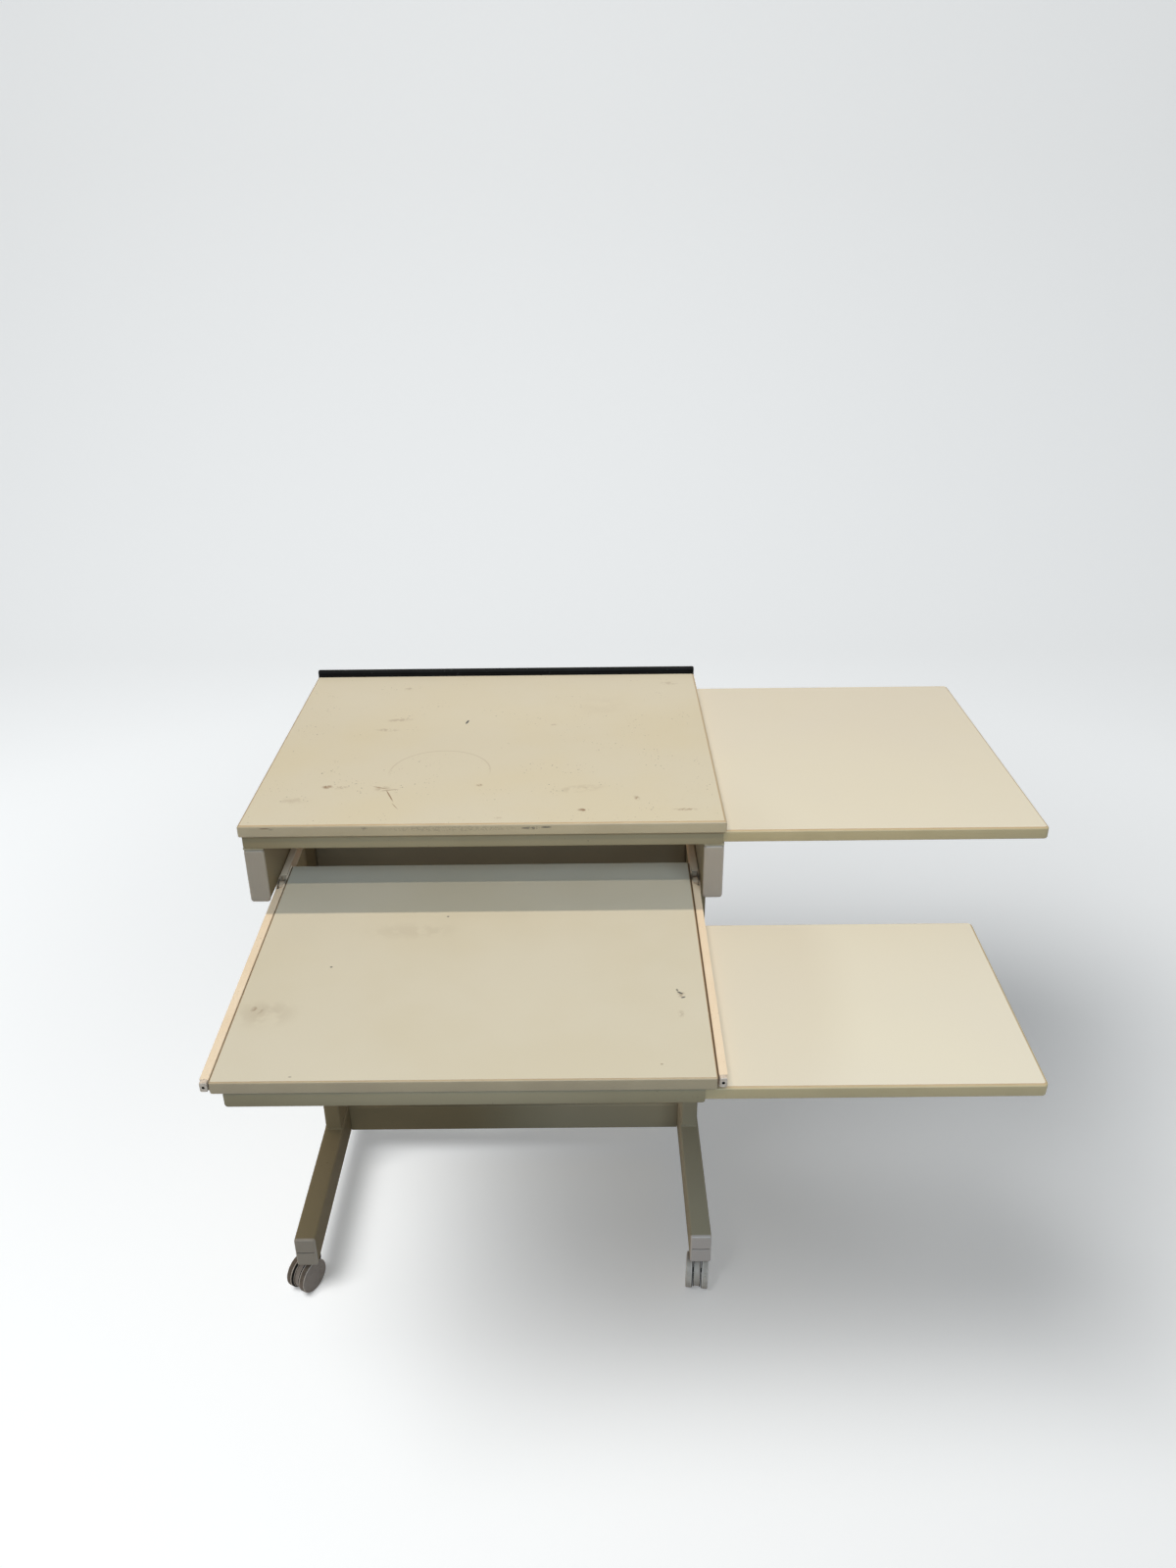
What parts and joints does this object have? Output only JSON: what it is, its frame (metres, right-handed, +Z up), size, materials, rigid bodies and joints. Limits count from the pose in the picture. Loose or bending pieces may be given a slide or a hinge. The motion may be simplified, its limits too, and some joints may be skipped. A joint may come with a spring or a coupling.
{
  "type": "mobile computer desk",
  "caption": "Mobile computer desk on casters with a laminate top, a pull-out keyboard tray on roller runners, and side leaves that slide out from under the top and tray.",
  "frame": {"origin": "floor under the middle of the desk's bounding box, with the tray and both leaves pulled out", "axes": "+X to the user's right, the way the leaves pull out; +Y to the back of the desk; +Z up"},
  "size_m": [1.022, 0.8394, 0.7797],
  "materials": {
    "laminate": "beige laminate on board, satin, scratched",
    "leaf_laminate": "pale laminate on board, satin, clean",
    "panel_laminate": "olive laminate on board, matt",
    "black_strip": "black soft plastic",
    "painted_steel": "olive grey powder coat",
    "grey_plastic": "moulded grey plastic",
    "cream_epoxy": "cream epoxy on steel",
    "roller_plastic": "grey nylon",
    "caster_plastic": "dark grey nylon",
    "zinc_steel": "zinc plated"
  },
  "bodies": {
    "frame": {"top_board": "laminate", "rear_edge_strip": "black_strip", "upper_front_channel": "painted_steel", "upper_rear_channel": "painted_steel", "upper_left_rail": "painted_steel", "stretcher": "painted_steel", "modesty_panel": "panel_laminate", "arm_bearer_left": "painted_steel", "arm_left": "painted_steel", "arm_cap_front_left": "grey_plastic", "arm_cap_rear_left": "grey_plastic", "column_left": "painted_steel", "foot_left": "painted_steel", "foot_cap_front_left": "grey_plastic", "foot_cap_rear_left": "grey_plastic", "cabinet_runner_left": "cream_epoxy", "arm_bearer_right": "painted_steel", "arm_right": "painted_steel", "arm_cap_front_right": "grey_plastic", "arm_cap_rear_right": "grey_plastic", "column_right": "painted_steel", "foot_right": "painted_steel", "foot_cap_front_right": "grey_plastic", "foot_cap_rear_right": "grey_plastic", "cabinet_runner_right": "cream_epoxy", "caster_front_left_stem": "zinc_steel", "caster_front_right_stem": "zinc_steel", "caster_rear_left_stem": "zinc_steel", "caster_rear_right_stem": "zinc_steel"},
    "upper_leaf": {"upper_leaf": "leaf_laminate"},
    "tray": {"tray_board": "laminate", "tray_front_channel": "painted_steel", "tray_rear_channel": "painted_steel", "drawer_runner_left": "cream_epoxy", "runner_end_left": "grey_plastic", "drawer_runner_right": "cream_epoxy", "runner_end_right": "grey_plastic"},
    "lower_leaf": {"lower_leaf": "leaf_laminate"},
    "cabinet_roller_left": {"cabinet_roller_left": "roller_plastic"},
    "drawer_roller_left": {"drawer_roller_left": "roller_plastic"},
    "cabinet_roller_right": {"cabinet_roller_right": "roller_plastic"},
    "drawer_roller_right": {"drawer_roller_right": "roller_plastic"},
    "caster_front_left": {"caster_front_left_body": "caster_plastic", "caster_front_left_axle": "zinc_steel"},
    "caster_front_left_wheel_left": {"caster_front_left_wheel_left": "caster_plastic"},
    "caster_front_left_wheel_right": {"caster_front_left_wheel_right": "caster_plastic"},
    "caster_front_right": {"caster_front_right_body": "caster_plastic", "caster_front_right_axle": "zinc_steel"},
    "caster_front_right_wheel_left": {"caster_front_right_wheel_left": "caster_plastic"},
    "caster_front_right_wheel_right": {"caster_front_right_wheel_right": "caster_plastic"},
    "caster_rear_left": {"caster_rear_left_body": "caster_plastic", "caster_rear_left_axle": "zinc_steel"},
    "caster_rear_left_wheel_left": {"caster_rear_left_wheel_left": "caster_plastic"},
    "caster_rear_left_wheel_right": {"caster_rear_left_wheel_right": "caster_plastic"},
    "caster_rear_right": {"caster_rear_right_body": "caster_plastic", "caster_rear_right_axle": "zinc_steel"},
    "caster_rear_right_wheel_left": {"caster_rear_right_wheel_left": "caster_plastic"},
    "caster_rear_right_wheel_right": {"caster_rear_right_wheel_right": "caster_plastic"}
  },
  "joints": [
    {"name": "upper_leaf_slide", "type": "slide", "parent": "frame", "child": "upper_leaf", "axis": [1, 0, 0], "range_m": [-0.4, 0]},
    {"name": "tray_slide", "type": "slide", "parent": "frame", "child": "tray", "axis": [0, 0.9989, 0.0471], "range_m": [0, 0.225]},
    {"name": "lower_leaf_slide", "type": "slide", "parent": "tray", "child": "lower_leaf", "axis": [1, 0, 0], "range_m": [-0.343, 0]},
    {"name": "cabinet_roller_left_spin", "type": "hinge", "parent": "frame", "child": "cabinet_roller_left", "pos_m": [-0.45711, -0.04581, 0.65548], "axis": [1, 0, 0], "continuous": true},
    {"name": "drawer_roller_left_spin", "type": "hinge", "parent": "tray", "child": "drawer_roller_left", "pos_m": [-0.45711, -0.02184, 0.65661], "axis": [1, 0, 0], "continuous": true},
    {"name": "cabinet_roller_right_spin", "type": "hinge", "parent": "frame", "child": "cabinet_roller_right", "pos_m": [0.07909, -0.04581, 0.65548], "axis": [1, 0, 0], "continuous": true},
    {"name": "drawer_roller_right_spin", "type": "hinge", "parent": "tray", "child": "drawer_roller_right", "pos_m": [0.07909, -0.02184, 0.65661], "axis": [1, 0, 0], "continuous": true},
    {"name": "caster_front_left_swivel", "type": "hinge", "parent": "frame", "child": "caster_front_left", "pos_m": [-0.47551, -0.09076, 0.055], "axis": [0, 0, 1], "continuous": true},
    {"name": "caster_front_left_wheel_left_spin", "type": "hinge", "parent": "caster_front_left", "child": "caster_front_left_wheel_left", "pos_m": [-0.48512, -0.10773, 0.025], "axis": [0.8704, -0.4924, 0], "continuous": true},
    {"name": "caster_front_left_wheel_right_spin", "type": "hinge", "parent": "caster_front_left", "child": "caster_front_left_wheel_right", "pos_m": [-0.48512, -0.10773, 0.025], "axis": [0.8704, -0.4924, 0], "continuous": true},
    {"name": "caster_front_right_swivel", "type": "hinge", "parent": "frame", "child": "caster_front_right", "pos_m": [0.09749, -0.09076, 0.055], "axis": [0, 0, 1], "continuous": true},
    {"name": "caster_front_right_wheel_left_spin", "type": "hinge", "parent": "caster_front_right", "child": "caster_front_right_wheel_left", "pos_m": [0.09511, -0.11012, 0.025], "axis": [0.9925, -0.1219, 0], "continuous": true},
    {"name": "caster_front_right_wheel_right_spin", "type": "hinge", "parent": "caster_front_right", "child": "caster_front_right_wheel_right", "pos_m": [0.09511, -0.11012, 0.025], "axis": [0.9925, -0.1219, 0], "continuous": true},
    {"name": "caster_rear_left_swivel", "type": "hinge", "parent": "frame", "child": "caster_rear_left", "pos_m": [-0.47551, 0.37324, 0.055], "axis": [0, 0, 1], "continuous": true},
    {"name": "caster_rear_left_wheel_left_spin", "type": "hinge", "parent": "caster_rear_left", "child": "caster_rear_left_wheel_left", "pos_m": [-0.48526, 0.39013, 0.025], "axis": [-0.866, -0.5, 0], "continuous": true},
    {"name": "caster_rear_left_wheel_right_spin", "type": "hinge", "parent": "caster_rear_left", "child": "caster_rear_left_wheel_right", "pos_m": [-0.48526, 0.39013, 0.025], "axis": [-0.866, -0.5, 0], "continuous": true},
    {"name": "caster_rear_right_swivel", "type": "hinge", "parent": "frame", "child": "caster_rear_right", "pos_m": [0.09749, 0.37324, 0.055], "axis": [0, 0, 1], "continuous": true},
    {"name": "caster_rear_right_wheel_left_spin", "type": "hinge", "parent": "caster_rear_right", "child": "caster_rear_right_wheel_left", "pos_m": [0.10416, 0.39156, 0.025], "axis": [-0.9397, 0.342, 0], "continuous": true},
    {"name": "caster_rear_right_wheel_right_spin", "type": "hinge", "parent": "caster_rear_right", "child": "caster_rear_right_wheel_right", "pos_m": [0.10416, 0.39156, 0.025], "axis": [-0.9397, 0.342, 0], "continuous": true}
  ],
  "couplings": [
    {"joint": "cabinet_roller_left_spin", "follows": "tray_slide", "rad_per_m": -162.6},
    {"joint": "drawer_roller_left_spin", "follows": "tray_slide", "rad_per_m": 132.45},
    {"joint": "cabinet_roller_right_spin", "follows": "tray_slide", "rad_per_m": -162.6},
    {"joint": "drawer_roller_right_spin", "follows": "tray_slide", "rad_per_m": 132.45}
  ]
}
